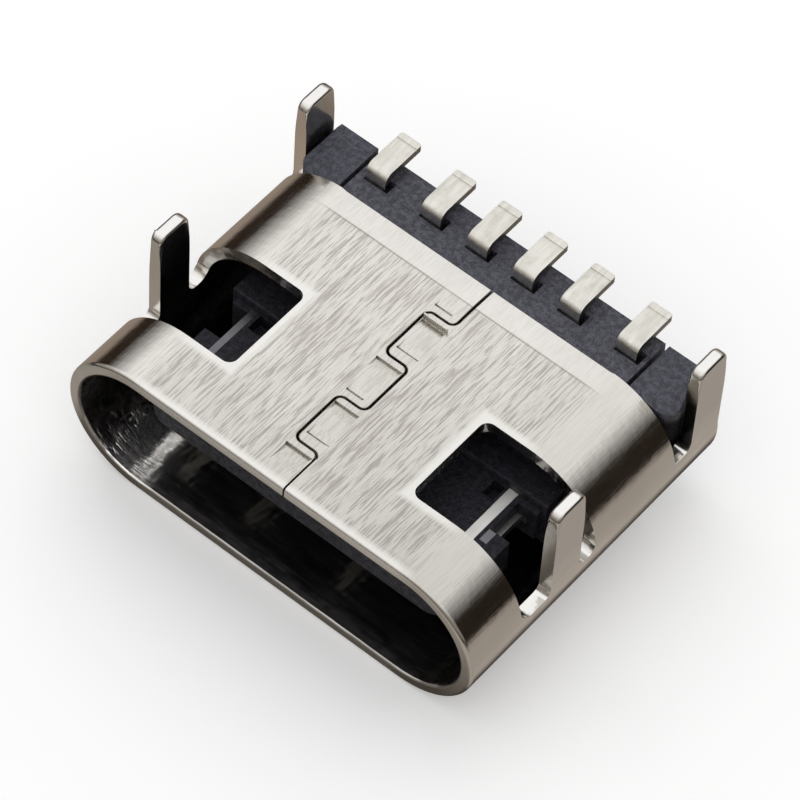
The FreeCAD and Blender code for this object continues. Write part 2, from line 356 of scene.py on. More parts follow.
# %% [markdown]
# ## Breaking the edges
#
# No edge of stamped sheet is sharp: the shear leaves a small round and tumbling adds to it.
# The mouth is rounded more, so that a plug finds its way in. The mouth's two outlines are
# bevelled by hand. A bevel modifier then goes over all other edges. As its rounds may not
# overlap, the tightest spot of a piece holds them all back. On this shell that leaves them
# far smaller than the width that is asked for, so the rounds that show are those made by
# hand.

# %% Round the mouth, then every other edge
OUTER_RIM, INNER_RIM, SHEET_EDGE = 0.08, 0.05, 0.028


def in_mouth(radius):
    """Test for edges of the mouth's plane on the outline with this side radius."""
    on_outline = lambda p: abs(p.y) < HAIR and abs(reach(p.x, p.z) - radius) < 4e-3
    return lambda a, b: on_outline(a) and on_outline(b)


def soften(piece, width, segments=3):
    """Break all sharp edges evenly, by no more than the tightest spot leaves room for."""
    return apply(piece, "BEVEL", width=width, segments=segments, limit_method="ANGLE",
                 angle_limit=math.radians(35), use_clamp_overlap=True)


print("outer rim edges:", round_edges(shell, in_mouth(SHELL_HEIGHT / 2), OUTER_RIM, 5))
print("inner rim edges:", round_edges(shell, in_mouth(MOUTH_HEIGHT / 2), INNER_RIM, 4))
soften(shell, SHEET_EDGE)
count_faces(shell)

# %% [markdown]
# ## The seam
#
# The two ends of the strip hook into each other in square steps, and a punch has staked the
# sheet beside every step to lock it. The gap is only about 0.04 mm wide, but it is a real
# gap, so it is cut. The cutter is a ribbon that is walked along the seam: its end edge is
# extruded along each straight and spun round each corner. The same walk makes the leads.

# %% Walk a ribbon: straights are extruded, corners are spun
def ribbon(name, x0, x1, y0, y1, z):
    """First straight of a ribbon, a plane primitive, with its far edge picked in edit mode."""
    deselect()
    bpy.ops.mesh.primitive_plane_add(size=1, location=((x0 + x1) / 2, (y0 + y1) / 2, z))
    bpy.context.object.scale = (x1 - x0, abs(y1 - y0), 1)
    piece = settle(name)
    pick(piece, "EDGE", lambda a, b: abs(a.y - y1) < 1e-4 and abs(b.y - y1) < 1e-4)
    return piece


def straight(move):
    """Extrude the picked edge."""
    bpy.ops.mesh.extrude_region_move(TRANSFORM_OT_translate={"value": Vector(move)})


def corner(place, heading, axis, angle, radius, steps=6):
    """Spin the picked edge round a corner, from its middle; return the new middle and heading."""
    axis = Vector(axis)
    centre = place + axis.cross(heading) * (radius if angle > 0 else -radius)
    bpy.ops.mesh.spin(steps=steps, angle=-math.radians(angle), center=centre, axis=axis)
    turn = Matrix.Rotation(math.radians(angle), 3, axis)
    return centre + turn @ (place - centre), turn @ heading


ahead = Vector((0, 1, 0))
trial = ribbon("trial", -0.5, 0.5, 0, 1, 0)
print("a ribbon's corner ends at:", corner(ahead, ahead, (0, 0, 1), 90, 1)[0][:])
bpy.data.objects.remove(done(trial))

# %% Cut the seam
SEAM_GAP, SEAM_BEND, SEAM_RIM = 0.038, 0.13, 0.024
SEAM_X = (0.33, -0.22)
SEAM_STEPS = (4.42, 3.255, 2.09, 0.925)
UP = (0, 0, 1)
place = Vector((SEAM_X[0], SEAM_STEPS[0] + SEAM_BEND, SHELL_HEIGHT))
heading = Vector((0, -1, 0))
across = SEAM_X[0] - SEAM_X[1] - 2 * SEAM_BEND
half_gap = SEAM_GAP / 2
seam = ribbon("seam_cut", SEAM_X[0] - half_gap, SEAM_X[0] + half_gap, 6, place.y, SHELL_HEIGHT)
for i, step in enumerate(SEAM_STEPS):
    turn = -90 if i % 2 == 0 else 90
    place, heading = corner(place, heading, UP, turn, SEAM_BEND)
    straight(heading * across)
    place = place + heading * across
    place, heading = corner(place, heading, UP, -turn, SEAM_BEND)
    ahead = place.y - (SEAM_STEPS[i + 1] + SEAM_BEND) if i < 3 else place.y + 1
    straight(heading * ahead)
    place = place + heading * ahead
done(seam)
apply(seam, "SOLIDIFY", thickness=0.8, offset=0)
cut(shell, seam)
beside_seam = lambda p: (abs(p.x) < 0.45 and p.z > SHELL_HEIGHT - COIN_DROP - HAIR
                         and p.y > OUTER_RIM + 0.005)
on_rims = lambda a, b: beside_seam(a) and beside_seam(b)
print("seam edges:", round_edges(shell, on_rims, SEAM_RIM, 3))

# %% [markdown]
# ## Stake marks
#
# A punch has pressed the sheet beside each step, which squeezed metal into the gap. It left
# a small wall on both sides of the step, and from there the dent runs out to the surface.
# The cutter is a block whose underside is cut off at a slant, so the dent is a shallow wedge.
# A narrow groove follows the wall. Only the wall is rounded, because the slant should fade
# into the plate.

# %% Press the stake marks
GROOVE_WIDTH, GROOVE_DEPTH, STAKE_RIM = 0.034, 0.05, 0.022
# Left, right, wall, far end and depth of the two marks at each step of the seam.
STAKES = (((-0.175, 0.32, -0.15, -0.42, 0.055), (-0.20, 0.15, 0.155, 0.30, 0.028)),
          ((-0.25, 0.285, -0.15, -0.42, 0.055), (-0.12, 0.33, 0.215, 0.46, 0.045)),
          ((-0.175, 0.32, -0.15, -0.42, 0.055), (-0.20, 0.15, 0.155, 0.30, 0.028)),
          ((-0.25, 0.285, -0.15, -0.62, 0.07), (-0.12, 0.33, 0.215, 0.46, 0.045)))


def stake(x0, x1, near, far, depth):
    """Wedge cutter: deepest at its wall, near the step, and running out at its far end."""
    low, high = sorted((near, far))
    piece = block("stake", x0, x1, low, high, SHELL_HEIGHT - 0.2, SHELL_HEIGHT + 0.1)
    slant = Vector((0, -depth * (1 if far > near else -1), abs(far - near))).normalized()
    pick(piece, "FACE", lambda c, n: True)
    bpy.ops.mesh.bisect(plane_co=(0, far, SHELL_HEIGHT), plane_no=slant, use_fill=True,
                        clear_inner=True)
    return done(piece)


walls = []
for step, marks in zip(SEAM_STEPS, STAKES):
    for x0, x1, near, far, depth in marks:
        cut(shell, stake(x0, x1, step + near, step + far, depth))
        width = GROOVE_WIDTH if far > near else -GROOVE_WIDTH
        low, high = sorted((step + near, step + near + width))
        groove = block("groove", x0 - 0.01, x1 + 0.01, low, high,
                       SHELL_HEIGHT - depth - GROOVE_DEPTH, SHELL_HEIGHT + 0.1)
        cut(shell, groove)
        walls.append(step + near)
on_wall = lambda p: (abs(p.x) < 0.45 and abs(p.z - SHELL_HEIGHT) < HAIR
                     and min(abs(p.y - wall) for wall in walls) < HAIR)
wall_edges = lambda a, b: on_wall(a) and on_wall(b) and along(X)(a, b)
print("stake walls:", round_edges(shell, wall_edges, STAKE_RIM, 3))

# %% [markdown]
# ## Shading, and the way into the frame
#
# Smooth shading hides the steps of the rounds, while weighted normals keep the flats flat.
# The piece then shrinks to metres and moves into the frame.

# %% Shade the shell and set it in the frame
HALF_LENGTH = 3.525  # from the mouth to the middle


def smooth(piece):
    """Smooth shading that keeps flats flat."""
    only(piece)
    bpy.ops.object.shade_smooth_by_angle(angle=math.radians(40))
    apply(piece, "WEIGHTED_NORMAL", keep_sharp=True, weight=50)


def to_size(piece):
    """Shrink a finished piece to metres and move it into the frame."""
    piece.data.transform(Matrix.Scale(0.001, 4) @ Matrix.Translation((0, -HALF_LENGTH, 0)))
    piece.data.update()


smooth(shell)
to_size(shell)
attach(shell, "root")
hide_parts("shell")
count_faces(shell)

# %% [markdown]
# ## The leads
#
# Each lead starts as a flat pad on the tongue. It jogs sideways inside the plastic, climbs to
# the rear body, runs back and comes up to a flat foot. The real lead is stamped and bent in
# steps, and the ribbon walk does the same: straight, bend, straight, bend. Solidify then
# gives it the sheet's thickness. The three leads of the tongue's lower side climb further.

# %% Walk the six leads
LEAD_SHEET, LEAD_BEND, FOOT_WIDTH, PAD_WIDTH, ROW_OFFSET = 0.16, 0.12, 0.45, 0.20, 0.28
PAD_FRONT, JOG_FRONT, JOG_REAR = 1.10, 4.15, 4.62
DROP, RUN_LEVEL, RISER, FOOT_LEVEL, FOOT_TIP = 5.36, 2.34, 6.14, 3.03, 7.05
# Name, middle of the pad, middle of the foot, and 1 for the tongue's upper side.
LEADS = (("a12", 2.75, 2.75, 1), ("a9", 1.25, 1.52, 1), ("a5", -0.75, -0.50, 1),
         ("b5", 0.75, 0.50, -1), ("b9", -1.25, -1.52, -1), ("b12", -2.75, -2.75, -1))
# Where each bend lies, on which axis, and how far it turns.
BENDS = ((DROP, Y, 90), (RUN_LEVEL, Z, -90), (RISER, Y, 90), (FOOT_LEVEL, Z, -90))


def lead(name, pad_x, foot_x, row):
    """One bent lead: the ribbon is widened at its jog and bent four times."""
    level = MIDDLE + row * ROW_OFFSET
    piece = ribbon("lead_" + name, pad_x - PAD_WIDTH / 2, pad_x + PAD_WIDTH / 2,
                   PAD_FRONT, JOG_FRONT, level)
    straight((foot_x - pad_x, JOG_REAR - JOG_FRONT, 0))
    place, heading = Vector((foot_x, JOG_REAR, level)), Vector((0, 1, 0))
    bpy.ops.transform.resize(value=(FOOT_WIDTH / PAD_WIDTH, 1, 1), center_override=place)
    for goal, axis, angle in BENDS:
        ahead = goal - LEAD_BEND - place[axis]
        straight(heading * ahead)
        place, heading = corner(place + heading * ahead, heading, (1, 0, 0), angle, LEAD_BEND, 5)
    straight((0, FOOT_TIP - place.y, 0))
    done(piece)
    return apply(piece, "SOLIDIFY", thickness=LEAD_SHEET, offset=0, use_even_offset=True)


leads = {name: lead(name, pad_x, foot_x, row) for name, pad_x, foot_x, row in LEADS}
for piece in leads.values():
    count_faces(piece)

# %% [markdown]
# ## The middle plate
#
# A thin steel plate in the tongue keeps the two rows of contacts apart and takes the wear of
# the plug's latches. Its edges at the notches can be seen through the windows, and so can
# two small lands that reach up to the upper face of the tongue.

# %% Stamp the middle plate
PLATE_HALF, PLATE_FLOOR, PLATE_TOP = 3.15, 1.455, 1.605
LATCH_FRONT, LATCH_REAR = 2.30, 3.02
LAND_TOP = 1.885
LANDS = ((2.92, 3.07, 2.02, 2.29), (-3.00, -2.87, 1.80, 3.10))  # left, right, front, rear

plate = block("mid_plate", -PLATE_HALF, PLATE_HALF, 0.85, 5.0, PLATE_FLOOR, PLATE_TOP)
round_edges(plate, along(Z), 0.3, 8)
for side in (1, -1):
    x0, x1 = sorted((side * (PLATE_HALF - 0.1), side * 4))
    cut(plate, block("latch_cut", x0, x1, LATCH_FRONT, LATCH_REAR, 1, 2))
for sides in LANDS:
    join(plate, block("land", *sides, 1.5, LAND_TOP))
count_faces(plate)

# %% [markdown]
# ## The black moulding
#
# The moulding is a tongue with a thicker root, a base that fills the tube, and two corner
# blocks behind it. Each is a block with its own edges rounded, and they are joined one by
# one. The base ends just inside the tube, so a dark gap shows behind the plate.

# %% Tongue, root and base
TONGUE_HALF, TONGUE_FLOOR, TONGUE_TOP, TONGUE_FRONT = 3.345, 1.18, 1.88, 0.65
LATCH_HALF, INNER_END = 2.95, 5.3
ROOT_HALF, ROOT_FRONT, ROOT_HALF_HEIGHT = 3.45, 3.15, 0.535
BASE_FRONT, BASE_REAR, FIT = 4.95, 5.42, 0.04

housing = block("housing", -TONGUE_HALF, TONGUE_HALF, TONGUE_FRONT, INNER_END,
                TONGUE_FLOOR, TONGUE_TOP)
round_edges(housing, lambda a, b: along(Z)(a, b) and a.y < TONGUE_FRONT + 0.05, 0.5, 10)
lip = lambda a, b: (max(a.y, b.y) < TONGUE_FRONT + 0.51 and abs(a.z - b.z) < 1e-4
                    and (a - b).length > HAIR)
print("lip edges:", round_edges(housing, lip, 0.1, 4))
for side in (1, -1):
    x0, x1 = sorted((side * LATCH_HALF, side * 5))
    cut(housing, block("latch_cut", x0, x1, LATCH_FRONT, LATCH_REAR, 0, 3))
root = block("root", -ROOT_HALF, ROOT_HALF, ROOT_FRONT, INNER_END,
             MIDDLE - ROOT_HALF_HEIGHT, MIDDLE + ROOT_HALF_HEIGHT)
round_edges(root, lambda a, b: along(X)(a, b) and a.y < ROOT_FRONT + 0.05, 0.05, 3)
join(housing, root)
base = round_bar("base", MOUTH_WIDTH - FIT, MOUTH_HEIGHT - FIT, BASE_FRONT, BASE_REAR, 16)
join(housing, base)
count_faces(housing)

# %% [markdown]
# ## Corner blocks
#
# Two blocks stand behind the base and close the tube's round sides. Their front corners are
# round and their top is flat, with a slanted facet towards the leg. The slants are cut with
# the bisect tool. A foot joins each block to the base, and all that would stick out of the
# tube's section is cut off by intersecting the block with a bar of that section.

# %% Mould the corner blocks
BLOCK_INNER, BLOCK_OUTER, BLOCK_FRONT = 3.17, 4.13, 5.56
REAR_END, REAR_TOP = 6.70, 2.77
BLOCK_ROUNDS = ((BLOCK_INNER, 0.16), (BLOCK_OUTER, 0.34))  # place and radius
# Point and facing of the slants, for the block on the right.
SLANTS = (((4.03, 6.1, REAR_TOP), (0.87, 0, 0.5)), ((3.52, 5.74, REAR_TOP), (0.22, -0.28, 0.93)))


def corner_block(side):
    """Block with round front corners and slants, on a foot inside the tube's round."""
    limits = lambda inner, outer: sorted((side * inner, side * outer))
    piece = block("corner_block", *limits(BLOCK_INNER, BLOCK_OUTER), BLOCK_FRONT, REAR_END,
                  1.0, REAR_TOP)
    for middle, radius in BLOCK_ROUNDS:
        front = lambda a, b: (along(Z)(a, b) and abs(a.x - side * middle) < HAIR
                              and a.y < BLOCK_FRONT + 0.04)
        round_edges(piece, front, radius, 6)
    for place, facing in SLANTS:
        pick(piece, "FACE", lambda c, n: True)
        bpy.ops.mesh.bisect(plane_co=(side * place[0], *place[1:]),
                            plane_no=(side * facing[0], *facing[1:]),
                            use_fill=True, clear_outer=True)
        done(piece)
    within = round_bar("within", MOUTH_WIDTH - FIT, MOUTH_HEIGHT - FIT, 4, 8, 16)
    pick(within, "VERT", lambda p: p.z > MIDDLE + HAIR)
    bpy.ops.transform.translate(value=(0, 0, 2))
    done(within)
    foot = block("foot", *limits(BLOCK_INNER, 4.10), 5.2, 6.0, 0.95, 1.55)
    join(piece, foot)
    return combine(piece, within, "INTERSECT")


for side in (1, -1):
    join(housing, corner_block(side))
count_faces(housing)

# %% [markdown]
# ## Seats for the metal
#
# The plate and the leads are moulded in, so copies of them are cut out of the plastic. A
# copy needs a mesh of its own, because the cutter is thrown away afterwards. Two small
# pockets in front of the root are where pins of the mould held the middle plate.

# %% Cut the seats
CORE_PINS = ((2.36, 2.60), (-2.80, -2.50))  # left and right


def twin(piece):
    """Copy of a piece with a mesh of its own."""
    copy = piece.copy()
    copy.data = piece.data.copy()
    bpy.context.scene.collection.objects.link(copy)
    return copy


cut(housing, block("seat", -3.20, 3.20, 5.03, 8, 1.98, 4))
cut(housing, twin(plate))
for x0, x1 in CORE_PINS:
    cut(housing, block("core_pin", x0, x1, 2.78, 3.12, 1.62, 3))
for piece in leads.values():
    cut(housing, twin(piece))
count_faces(housing)

# %% [markdown]
# ## The lead carrier
#
# The leads are moulded into a bar of their own, which sits between the corner blocks. The
# mould leaves a small pocket round every lead where it comes out, and the pocket's shadow
# is what shows the foot standing free of the plastic.

# %% Mould the lead carrier
CARRIER_HALF, POCKET_FLOOR = 3.12, 2.60
POCKET_LEFT, POCKET_RIGHT = 0.235, 0.29

carrier = block("lead_carrier", -CARRIER_HALF, CARRIER_HALF, 5.05, REAR_END, 2.0, REAR_TOP)
for _, _, foot_x, _ in LEADS:
    pocket = block("pocket", foot_x - POCKET_LEFT, foot_x + POCKET_RIGHT, 6.03, 6.30,
                   POCKET_FLOOR, 3)
    cut(carrier, pocket)
for piece in leads.values():
    cut(carrier, twin(piece))
count_faces(carrier)

# %% [markdown]
# ## Finishing the leads and the mouldings
#
# The feet were scored where they break off their strip, which leaves a fine groove near the
# tip. The bevel modifier then goes over all these pieces. It finds room for most of its width
# on the leads only. The seats and pockets hold it back on the plate and the mouldings.

# %% Score and round the leads, soften the rest
SCORE_FRONT, SCORE_REAR, SCORE_FLOOR = 6.88, 6.91, FOOT_LEVEL + 0.055
at_tip = lambda a, b: along(Z)(a, b) and abs(a.y - FOOT_TIP) < HAIR
for name, _, foot_x, _ in LEADS:
    round_edges(leads[name], at_tip, 0.05, 4)
    score = block("score", foot_x - 1, foot_x + 1, SCORE_FRONT, SCORE_REAR, SCORE_FLOOR, 4)
    cut(leads[name], score)
    soften(leads[name], 0.018, 2)
soften(plate, 0.012, 2)
soften(housing, 0.03)
soften(carrier, 0.03)
for piece in (*leads.values(), plate, housing, carrier):
    smooth(piece)
    to_size(piece)
    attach(piece, "root")
    count_faces(piece)
for name, piece in leads.items():
    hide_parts("contact_" + name)
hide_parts("mid_plate")
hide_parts("housing")
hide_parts("lead_carrier")

# %% [markdown]
# ## Node helpers for the finishes
#
# Each finish is a Principled shader with a little noise in its colour, roughness and bump.
# The noise reads Object coordinates, which are metres here, so its scale is given as
# features per millimetre. Stretching it along Y makes the streaks of a brushed strip.

# %% A material, its noise and its coordinates
def connect(socket, value):
    """Feed a node's input: link it to another socket, or set its number or colour."""
    if hasattr(value, "id_data"):
        socket.id_data.links.new(value, socket)
    else:
        socket.default_value = value


def finish(name, color, metallic, roughness):
    """A material with its plain values set on the shader itself."""
    material = bpy.data.materials.new(name)
    material.use_nodes = True
    shader = material.node_tree.nodes["Principled BSDF"]
    connect(shader.inputs["Base Color"], (*color, 1))
    connect(shader.inputs["Metallic"], metallic)
    connect(shader.inputs["Roughness"], roughness)
    return material, material.node_tree, shader


def noise(tree, per_mm, stretch=(1, 1, 1), detail=3.0, roughness=0.55):
    """Noise on Object coordinates, with so many features per millimetre along each axis."""
    place = tree.nodes.new("ShaderNodeTexCoord")
    mapping = tree.nodes.new("ShaderNodeMapping")
    texture = tree.nodes.new("ShaderNodeTexNoise")
    connect(mapping.inputs["Scale"], [1000 * per_mm * s for s in stretch])
    connect(mapping.inputs["Vector"], place.outputs["Object"])
    connect(texture.inputs["Vector"], mapping.outputs["Vector"])
    connect(texture.inputs["Scale"], 1.0)
    connect(texture.inputs["Detail"], detail)
    connect(texture.inputs["Roughness"], roughness)
    return texture.outputs["Fac"]


def parts_of(tree, kind):
    """The three parts of the Object coordinates, in metres, or of the surface's Normal."""
    source = tree.nodes.new("ShaderNodeTexCoord")
    split = tree.nodes.new("ShaderNodeSeparateXYZ")
    connect(split.inputs[0], source.outputs[kind])
    return split.outputs


print("helpers made: connect, finish, noise, parts_of")


# %% Sums, ranges, colours and bump
def calculate(operation, *values):
    """One Math node for each further value, a socket or a number, in the tree of the sockets."""
    tree = next(value.id_data for value in values if hasattr(value, "id_data"))
    result = values[0]
    for value in values[1:]:
        node = tree.nodes.new("ShaderNodeMath")
        node.operation = operation
        connect(node.inputs[0], result)
        connect(node.inputs[1], value)
        result = node.outputs[0]
    return result


def product(*values):
    """Values multiplied, which for masks means: where all of them hold."""
    return calculate("MULTIPLY", *values)


def distance(value, middle=0.0):
    """How far a value lies from a number, on either side."""
    return calculate("ABSOLUTE", calculate("SUBTRACT", value, middle), 0.0)


def ranged(value, low, high, to_low=0, to_high=1):
    """Map a range of a value to another range."""
    node = value.id_data.nodes.new("ShaderNodeMapRange")
    for socket, term in zip(node.inputs, (value, low, high, to_low, to_high)):
        connect(socket, term)
    return node.outputs[0]


def ranged_mm(value, low, high, to_low=0, to_high=1):
    """The same for a length in metres, with the range given in millimetres."""
    return ranged(value, low / 1000, high / 1000, to_low, to_high)


def blend(factor, first, second):
    """Mix two colours, each a tuple or a socket."""
    node = factor.id_data.nodes.new("ShaderNodeMix")
    node.data_type = "RGBA"
    connect(node.inputs["Factor"], factor)
    colors = [socket for socket in node.inputs if socket.type == "RGBA"]
    for socket, color in zip(colors, (first, second)):
        connect(socket, (*color, 1) if isinstance(color, tuple) else color)
    return [socket for socket in node.outputs if socket.type == "RGBA"][0]


def bump(shader, height, distance_mm):
    """Feed a height to the shader's normal."""
    node = height.id_data.nodes.new("ShaderNodeBump")
    connect(node.inputs["Strength"], 1.0)
    connect(node.inputs["Distance"], distance_mm / 1000)
    connect(node.inputs["Height"], height)
    connect(shader.inputs["Normal"], node.outputs["Normal"])


print("helpers made: calculate, product, distance, ranged, ranged_mm, blend, bump")

# %% [markdown]
# ## Brushed nickel-plated steel
#
# The strip was brushed along its length before it was folded, and plated. The brushing shows
# as fine streaks a few hundredths of a millimetre wide and half a millimetre long. The
# folding dies polished the rounds, so the streaks fade there, and left faint crinkles. The
# margins of the windows, the mouth and the coined band are polished too, and their lighter
# colour is partly a painted highlight. Shade is painted into the colour as well: the steel
# darkens towards the front right, the side walls are darker than the flat, and a dark line
# marks where the coined band begins.
#
# First some masks are made, values from 0 to 1 that say where something holds. The colour,
# roughness and bump are then mixed with them.

# %% Shell steel, outside: where it is brushed and where it is polished
shell_steel, tree, shader = finish("shell_steel", (0.78, 0.755, 0.72), 1.0, 0.3)
x, y, z = parts_of(tree, "Object")
side_x = distance(x)
band_line = COIN_START - HALF_LENGTH
window_middle = (WINDOW[1] + WINDOW[2]) / 2 - HALF_LENGTH
window_half = (WINDOW[2] - WINDOW[1]) / 2

on_flat = ranged_mm(side_x, 2.7, 3.1, 1, 0)
ahead_of_band = ranged_mm(y, band_line - 0.025, band_line + 0.025, 1, 0.1)
off_seam = ranged_mm(distance(x, 0.06 / 1000), 0.26, 0.40, 0.3, 1)
beside_window = calculate("SUBTRACT", WINDOW[0] / 1000, side_x)
along_window = calculate("SUBTRACT", distance(y, window_middle / 1000), window_half / 1000)
from_window = calculate("MAXIMUM", beside_window, along_window)
from_mouth = calculate("ADD", y, HALF_LENGTH / 1000)
from_edge = calculate("MINIMUM", from_window, from_mouth)
off_edge = ranged_mm(from_edge, 0.08, 0.19, 0.2, 1)
brushed = product(on_flat, ahead_of_band, off_seam, off_edge)
print("mask nodes:", len(tree.nodes))

# %% Shell steel, outside: colour of the brushed flat
# Colours of the flat: lit at the back left, with painted shade towards the front right.
LIT_STEEL, LIT_STEEL_DIM, LIT_STEEL_LINE = (0.83, 0.805, 0.76), (0.77, 0.745, 0.695), (0.45, 0.42, 0.38)
SHADED_STEEL, SHADED_STEEL_LIGHT, SHADED_STEEL_LINE = (0.57, 0.55, 0.51), (0.65, 0.63, 0.585), (0.34, 0.32, 0.285)
scratches = noise(tree, 1, (42, 2.0, 42), 2, 0.5)
streaks = noise(tree, 1, (20, 1.3, 20), 3, 0.6)
patches = noise(tree, 1.1, (1, 0.6, 1), 2)
cloudy = ranged(patches, 0.35, 0.65)
# Painted shade: the steel is painted darker towards the front right, away from the light.
front_right_shade = ranged_mm(calculate("SUBTRACT", x, y), -1, 7)
lines = calculate("ADD", ranged(scratches, 0.50, 0.58, 0, 0.7), ranged(streaks, 0.50, 0.68, 0, 0.2))
tint = product(lines, ranged(brushed, 0, 1, 0.12, 1))
light_steel = blend(cloudy, LIT_STEEL, LIT_STEEL_DIM)
light_steel = blend(front_right_shade, light_steel, blend(patches, SHADED_STEEL, SHADED_STEEL_LIGHT))
color = blend(tint, light_steel, blend(front_right_shade, LIT_STEEL_LINE, SHADED_STEEL_LINE))
print("nodes with the flat's colour:", len(tree.nodes))

# %% Shell steel, outside: colour of the margins, the walls and the sheared edges
# Colours of the polished margins with their painted highlight, of the painted crease shade and of
# the painted wall shade.
POLISH_HIGHLIGHT, POLISH_HIGHLIGHT_SHADED, CREASE_SHADE = (0.91, 0.89, 0.855), (0.82, 0.80, 0.765), (0.36, 0.335, 0.30)
WALL_SHADE, WALL_SHADE_DIM, WALL_SHADE_DARKER = (0.66, 0.625, 0.585), (0.59, 0.555, 0.515), (0.50, 0.48, 0.445)
SHEARED = (0.90, 0.885, 0.86)
# The margins and the coined band are polished, and their lighter colour is partly a painted
# highlight.
margin = product(ranged(off_edge, 0.2, 1, 1, 0), on_flat)
wavy_y = calculate("ADD", y, ranged(patches, 0.3, 0.7, -0.00005, 0.00005))
coined = ranged_mm(wavy_y, band_line - 0.015, band_line + 0.045, 0, 0.5)
polish_and_highlight = calculate("MAXIMUM", margin, product(coined, on_flat))
color = blend(polish_and_highlight, color, blend(front_right_shade, POLISH_HIGHLIGHT, POLISH_HIGHLIGHT_SHADED))
# Painted shade: a dark line where the coined band begins.
crease_shade = ranged_mm(distance(y, band_line / 1000), 0.008, 0.022, 0.65, 0)
color = blend(product(crease_shade, on_flat), color, CREASE_SHADE)
faces_x, faces_y, faces_z = parts_of(tree, "Normal")
# Painted shade: the side walls are painted darker than the flat, and darker still higher up and
# towards the mouth.
walls = ranged(distance(faces_x), 0.55, 0.95)
upper_and_front = calculate("MAXIMUM", ranged_mm(z, 1.5, 2.5), ranged_mm(y, -3.2, -1.0, 0.6, 0))
shaded_wall = blend(upper_and_front, blend(cloudy, WALL_SHADE, WALL_SHADE_DIM), WALL_SHADE_DARKER)
color = blend(walls, color, shaded_wall)
leg_tops = product(ranged_mm(side_x, 4.05, 4.12), ranged(faces_z, 0.8, 0.95))
color = blend(leg_tops, color, SHEARED)
connect(shader.inputs["Base Color"], color)
print("nodes with all colours:", len(tree.nodes))

# %% Shell steel, outside: roughness and bump
on_round = calculate("SUBTRACT", 1.0, on_flat)
rough = calculate("ADD", ranged(scratches, 0.3, 0.7, 0.25, 0.38),
                  ranged(patches, 0.3, 0.7, -0.02, 0.02))
rough = calculate("SUBTRACT", rough, product(on_round, 0.17))
connect(shader.inputs["Roughness"], rough)
brushing = product(calculate("ADD", scratches, streaks), ranged(brushed, 0, 1, 0.15, 1))
crinkles = product(noise(tree, 4, (0.9, 1.5, 0.9), 2), on_round, 0.6)
bump(shader, calculate("ADD", brushing, crinkles), 0.006)
print("shell steel nodes:", len(tree.nodes))

# %% [markdown]
# ## Inside of the sheet
#
# Inside the tube the same steel has no brushing, because the streaks were made on one face
# of the strip. It is smooth and a little wavy. Its colour is painted darker than outside, as
# shade, and it looks almost black besides, because all that it mirrors is the black tongue.
# Just ahead of the left window a crumpled patch is painted almost white, as a painted pool
# of the light that falls in through the window.

# %% Shell steel, inside
# Colours of the painted shade inside and of the painted pool of light.
INNER_SHADE, INNER_SHADE_LIGHT, PAINTED_LIGHT = (0.40, 0.385, 0.365), (0.56, 0.54, 0.515), (0.99, 0.975, 0.95)
inner_steel, tree, shader = finish("inner_steel", (0.5, 0.48, 0.46), 1.0, 0.2)
waves = noise(tree, 2.2, (1, 0.5, 1), 2)
smears = noise(tree, 6, (0.25, 2, 1), 3)
x, y, z = parts_of(tree, "Object")
wander = ranged(smears, 0.3, 0.7, -0.00015, 0.00015)
ragged_x, ragged_y = (calculate("ADD", part, wander) for part in (x, y))
# Painted light: a crumpled patch ahead of the left window is painted almost white, as a pool of the
# light that falls in.
light_patch = product(ranged_mm(ragged_x, -3.8, -3.5), ranged_mm(ragged_x, -2.8, -2.5, 1, 0),
               ranged_mm(ragged_y, -2.4, -2.0, 1, 0))
# Painted shade: the inside steel is painted darker than the outside.
color = blend(ranged(smears, 0.35, 0.65), INNER_SHADE, INNER_SHADE_LIGHT)
connect(shader.inputs["Base Color"], blend(light_patch, color, PAINTED_LIGHT))
rough = calculate("ADD", ranged(smears, 0.3, 0.7, 0.12, 0.24), product(light_patch, 0.04))
connect(shader.inputs["Roughness"], rough)
crumple = product(smears, ranged(light_patch, 0, 1, 0.12, 0.6))
bump(shader, calculate("ADD", waves, crumple), 0.03)
print("inner steel nodes:", len(tree.nodes))

# %% Give the shell its two finishes
INNER_REACH = MOUTH_HEIGHT / 2 + 0.03


def looks_inward(c, n):
    """Faces of the hollow and the plate's cut faces at the windows, in the frame's metres."""
    cx, cy, cz = c.x * 1000, c.y * 1000 + HALF_LENGTH, c.z * 1000
    inner, front, rear = WINDOW
    if (cz > SHELL_HEIGHT - SHEET + 0.02 and abs(n.z) < 0.7
            and front - 0.02 < cy < rear + 0.02 and inner - 0.05 < abs(cx) < 3.3):
        return True
    if cz > 2.5 and min(abs(cy - front), abs(cy - rear)) < 0.03 and abs(n.y) > 0.6:
        return True
    out = Vector((math.copysign(max(abs(cx) - FLAT_HALF, 0), cx), 0, cz - MIDDLE))
    return cz < RELIEF + 1.5 and out.length < INNER_REACH and out.dot(n) < -0.5 * out.length


shell.data.materials.append(shell_steel)
shell.data.materials.append(inner_steel)
print("inner faces:", pick(shell, "FACE", looks_inward))
shell.active_material_index = 1
bpy.ops.object.material_slot_assign()
done(shell)

# %% [markdown]
# ## Plated leads and middle plate
#
# The leads are plated with bright tin, paler and warmer than the shell. Their stamped sides
# are painted dark as shade, and their pads on the tongue are painted brightest, as a
# highlight. The middle plate is plain rolled steel, with streaks across it.

# %% Lead metal
TIN, TIN_DIM, TIN_CLOUD = (0.84, 0.82, 0.765), (0.70, 0.675, 0.61), (0.60, 0.57, 0.51)
# Colours of the painted shade on the sides and of the painted highlight on the pads.
SIDE_SHADE, PAD_HIGHLIGHT = (0.20, 0.185, 0.165), (0.95, 0.94, 0.91)
lead_metal, tree, shader = finish("contact_metal", (0.80, 0.775, 0.71), 1.0, 0.3)
rolled = noise(tree, 1, (10, 1.2, 10), 3)
cloud = noise(tree, 4, detail=2)
